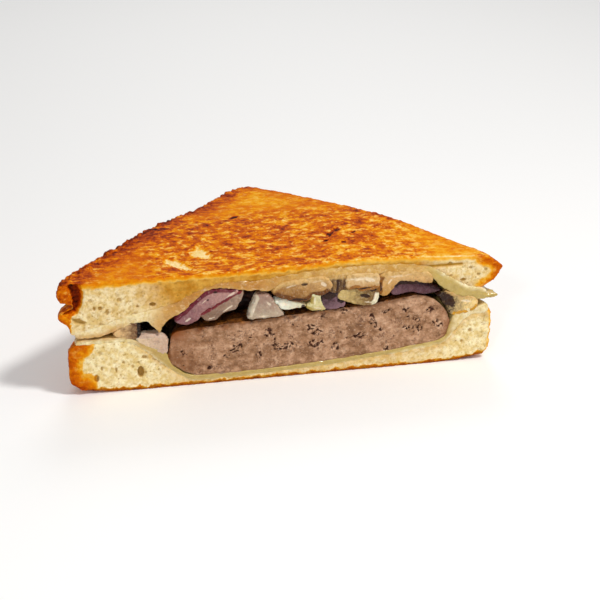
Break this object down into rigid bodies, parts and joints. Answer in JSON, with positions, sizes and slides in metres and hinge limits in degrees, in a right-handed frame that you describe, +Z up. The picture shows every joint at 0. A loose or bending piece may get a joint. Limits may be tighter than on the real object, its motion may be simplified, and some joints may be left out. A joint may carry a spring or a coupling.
{
  "type": "patty melt half",
  "caption": "Half of a griddled patty melt cut corner to corner: toasted thick bread, melted cheese, a minced beef patty, onion and mushroom, layers showing at the cut.",
  "frame": {"origin": "middle of the bounding box on the plane that the lower slice rests on", "axes": "+Z up; +X along the cut, to the right when the cut face is looked at; +Y from the cut face towards the corner of the bread"},
  "size_m": [0.177, 0.091, 0.0512],
  "materials": {
    "bread": "matte golden toasted crust over pale porous crumb",
    "cheese": "glossy melted pale yellow",
    "patty": "coarse browned minced beef, slightly moist",
    "filling": "glossy cooked onion and mushroom",
    "red_onion": "glossy translucent purple",
    "white_onion": "glossy translucent white",
    "mushroom": "moist cream to grey-brown"
  },
  "bodies": {
    "root": {"bread_bottom": "bread", "bread_top": "bread", "cheese_bottom": "cheese", "cheese_top": "cheese", "patty": "patty", "filling_heap": "filling", "red_onion_1": "red_onion", "red_onion_2": "red_onion", "red_onion_3": "red_onion", "red_onion_4": "red_onion", "red_onion_5": "red_onion", "white_onion_1": "white_onion", "white_onion_2": "white_onion", "white_onion_3": "white_onion", "mushroom_1": "mushroom", "mushroom_2": "mushroom", "mushroom_3": "mushroom", "mushroom_4": "mushroom", "mushroom_5": "mushroom", "mushroom_6": "mushroom", "mushroom_7": "mushroom"}
  },
  "joints": []
}
